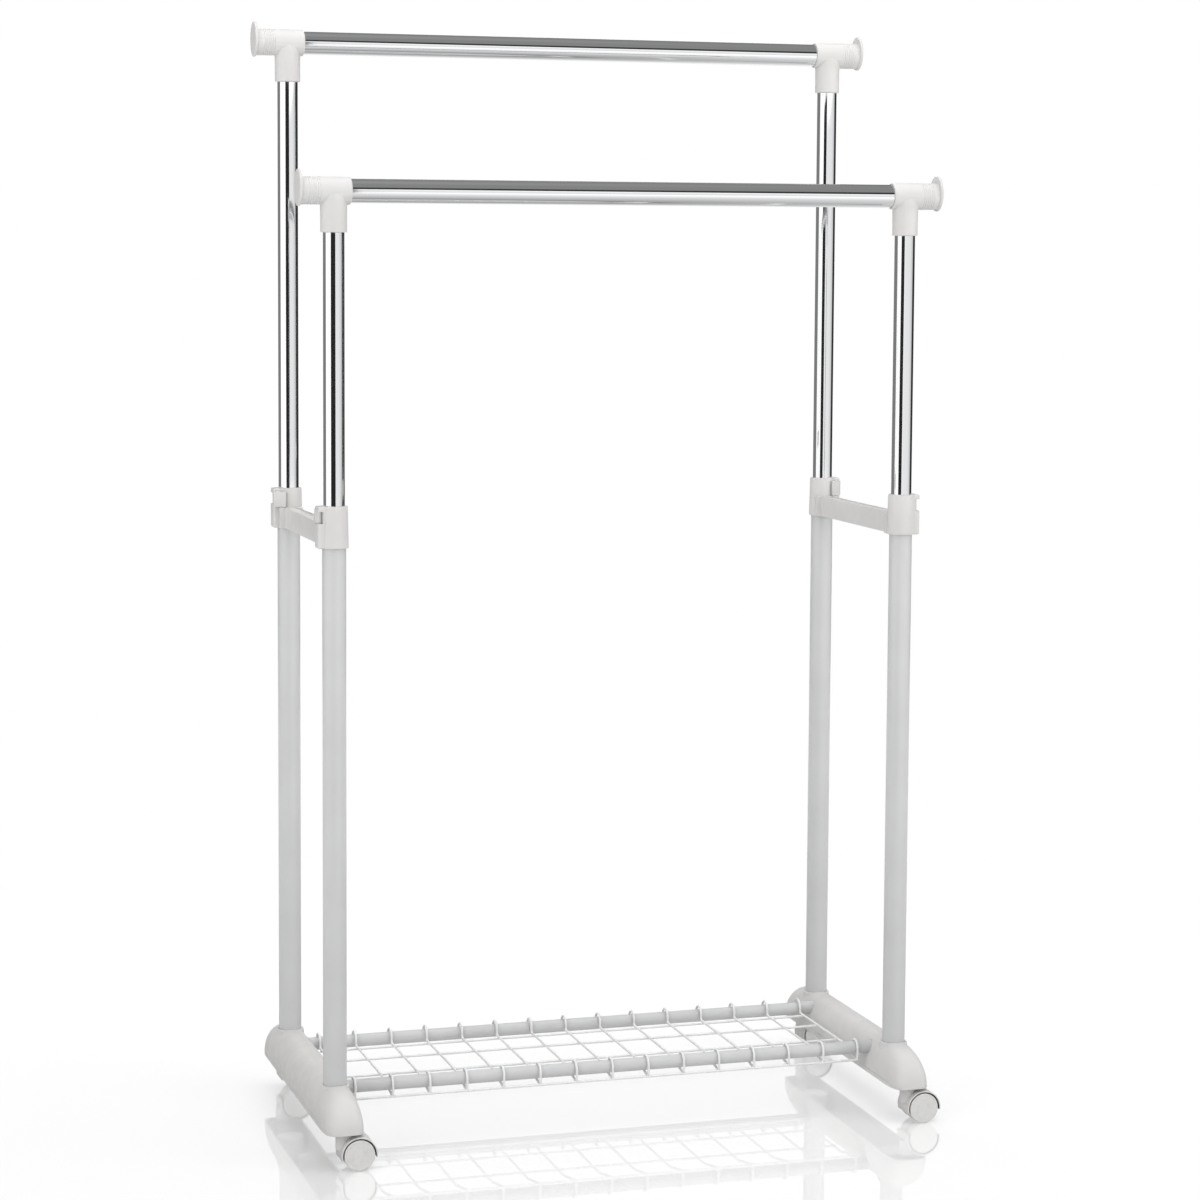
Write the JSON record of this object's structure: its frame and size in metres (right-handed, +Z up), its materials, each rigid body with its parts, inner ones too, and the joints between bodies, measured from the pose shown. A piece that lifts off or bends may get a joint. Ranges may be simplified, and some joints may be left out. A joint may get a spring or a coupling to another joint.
{
  "type": "rolling clothes rack",
  "caption": "Free-standing clothes rack with parallel height-adjustable rails on telescopic uprights, moulded feet, swivel casters and a low wire shelf.",
  "frame": {"origin": "on the floor under the middle of the rack", "axes": "+Z up, +X to the right along the rails, -Y towards the lower front rail"},
  "size_m": [0.8, 0.4, 1.3531],
  "materials": {
    "chrome": "polished",
    "white_paint": "satin powder coat",
    "moulded_plastic": "fine moulded texture",
    "caster_plastic": "smooth moulded",
    "wheel_plastic": "satin",
    "wire_coating": "satin dipped coat",
    "steel": "zinc plated"
  },
  "bodies": {
    "base": {"front_left_lower_tube": "white_paint", "front_left_collar": "moulded_plastic", "front_left_lever_pin": "steel", "front_right_lower_tube": "white_paint", "front_right_collar": "moulded_plastic", "front_right_lever_pin": "steel", "back_left_lower_tube": "white_paint", "back_left_collar": "moulded_plastic", "back_left_lever_pin": "steel", "back_right_lower_tube": "white_paint", "back_right_collar": "moulded_plastic", "back_right_lever_pin": "steel", "left_crossbar": "moulded_plastic", "right_crossbar": "moulded_plastic", "left_foot": "moulded_plastic", "right_foot": "moulded_plastic", "front_shelf_tube": "white_paint", "back_shelf_tube": "white_paint", "wire_shelf": "wire_coating"},
    "front_rail_set": {"front_rail": "chrome", "front_left_tee": "moulded_plastic", "front_left_chrome_upright": "chrome", "front_left_guide_plug": "moulded_plastic", "front_right_tee": "moulded_plastic", "front_right_chrome_upright": "chrome", "front_right_guide_plug": "moulded_plastic"},
    "back_rail_set": {"back_rail": "chrome", "back_left_tee": "moulded_plastic", "back_left_chrome_upright": "chrome", "back_left_guide_plug": "moulded_plastic", "back_right_tee": "moulded_plastic", "back_right_chrome_upright": "chrome", "back_right_guide_plug": "moulded_plastic"},
    "front_left_lever": {"front_left_lock_lever": "moulded_plastic"},
    "front_right_lever": {"front_right_lock_lever": "moulded_plastic"},
    "back_left_lever": {"back_left_lock_lever": "moulded_plastic"},
    "back_right_lever": {"back_right_lock_lever": "moulded_plastic"},
    "front_left_caster": {"front_left_caster_hood": "caster_plastic", "front_left_caster_stem": "steel", "front_left_caster_axle": "steel"},
    "front_left_front_wheel": {"front_left_caster_front_wheel": "wheel_plastic"},
    "front_left_back_wheel": {"front_left_caster_back_wheel": "wheel_plastic"},
    "front_right_caster": {"front_right_caster_hood": "caster_plastic", "front_right_caster_stem": "steel", "front_right_caster_axle": "steel"},
    "front_right_front_wheel": {"front_right_caster_front_wheel": "wheel_plastic"},
    "front_right_back_wheel": {"front_right_caster_back_wheel": "wheel_plastic"},
    "back_left_caster": {"back_left_caster_hood": "caster_plastic", "back_left_caster_stem": "steel", "back_left_caster_axle": "steel"},
    "back_left_front_wheel": {"back_left_caster_front_wheel": "wheel_plastic"},
    "back_left_back_wheel": {"back_left_caster_back_wheel": "wheel_plastic"},
    "back_right_caster": {"back_right_caster_hood": "caster_plastic", "back_right_caster_stem": "steel", "back_right_caster_axle": "steel"},
    "back_right_front_wheel": {"back_right_caster_front_wheel": "wheel_plastic"},
    "back_right_back_wheel": {"back_right_caster_back_wheel": "wheel_plastic"}
  },
  "joints": [
    {"name": "front_rail_lift", "type": "slide", "parent": "base", "child": "front_rail_set", "axis": [0, 0, 1], "range_m": [-0.3175, 0.255]},
    {"name": "back_rail_lift", "type": "slide", "parent": "base", "child": "back_rail_set", "axis": [0, 0, 1], "range_m": [-0.5025, 0.07]},
    {"name": "front_left_lever_flip", "type": "hinge", "parent": "base", "child": "front_left_lever", "pos_m": [-0.374, -0.134, 0.764], "axis": [0, 0, 1], "range_deg": [0, 90]},
    {"name": "front_right_lever_flip", "type": "hinge", "parent": "base", "child": "front_right_lever", "pos_m": [0.374, -0.134, 0.764], "axis": [0, 0, -1], "range_deg": [0, 90]},
    {"name": "back_left_lever_flip", "type": "hinge", "parent": "base", "child": "back_left_lever", "pos_m": [-0.374, 0.134, 0.764], "axis": [0, 0, -1], "range_deg": [0, 90]},
    {"name": "back_right_lever_flip", "type": "hinge", "parent": "base", "child": "back_right_lever", "pos_m": [0.374, 0.134, 0.764], "axis": [0, 0, 1], "range_deg": [0, 90]},
    {"name": "front_left_caster_swivel", "type": "hinge", "parent": "base", "child": "front_left_caster", "pos_m": [-0.357, -0.181, 0], "axis": [0, 0, 1], "continuous": true},
    {"name": "front_left_front_wheel_spin", "type": "hinge", "parent": "front_left_caster", "child": "front_left_front_wheel", "pos_m": [-0.341, -0.181, 0.0185], "axis": [0, 1, 0], "continuous": true},
    {"name": "front_left_back_wheel_spin", "type": "hinge", "parent": "front_left_caster", "child": "front_left_back_wheel", "pos_m": [-0.341, -0.181, 0.0185], "axis": [0, 1, 0], "continuous": true},
    {"name": "front_right_caster_swivel", "type": "hinge", "parent": "base", "child": "front_right_caster", "pos_m": [0.357, -0.181, 0], "axis": [0, 0, 1], "continuous": true},
    {"name": "front_right_front_wheel_spin", "type": "hinge", "parent": "front_right_caster", "child": "front_right_front_wheel", "pos_m": [0.373, -0.181, 0.0185], "axis": [0, 1, 0], "continuous": true},
    {"name": "front_right_back_wheel_spin", "type": "hinge", "parent": "front_right_caster", "child": "front_right_back_wheel", "pos_m": [0.373, -0.181, 0.0185], "axis": [0, 1, 0], "continuous": true},
    {"name": "back_left_caster_swivel", "type": "hinge", "parent": "base", "child": "back_left_caster", "pos_m": [-0.357, 0.181, 0], "axis": [0, 0, 1], "continuous": true},
    {"name": "back_left_front_wheel_spin", "type": "hinge", "parent": "back_left_caster", "child": "back_left_front_wheel", "pos_m": [-0.341, 0.181, 0.0185], "axis": [0, 1, 0], "continuous": true},
    {"name": "back_left_back_wheel_spin", "type": "hinge", "parent": "back_left_caster", "child": "back_left_back_wheel", "pos_m": [-0.341, 0.181, 0.0185], "axis": [0, 1, 0], "continuous": true},
    {"name": "back_right_caster_swivel", "type": "hinge", "parent": "base", "child": "back_right_caster", "pos_m": [0.357, 0.181, 0], "axis": [0, 0, 1], "continuous": true},
    {"name": "back_right_front_wheel_spin", "type": "hinge", "parent": "back_right_caster", "child": "back_right_front_wheel", "pos_m": [0.373, 0.181, 0.0185], "axis": [0, 1, 0], "continuous": true},
    {"name": "back_right_back_wheel_spin", "type": "hinge", "parent": "back_right_caster", "child": "back_right_back_wheel", "pos_m": [0.373, 0.181, 0.0185], "axis": [0, 1, 0], "continuous": true}
  ]
}
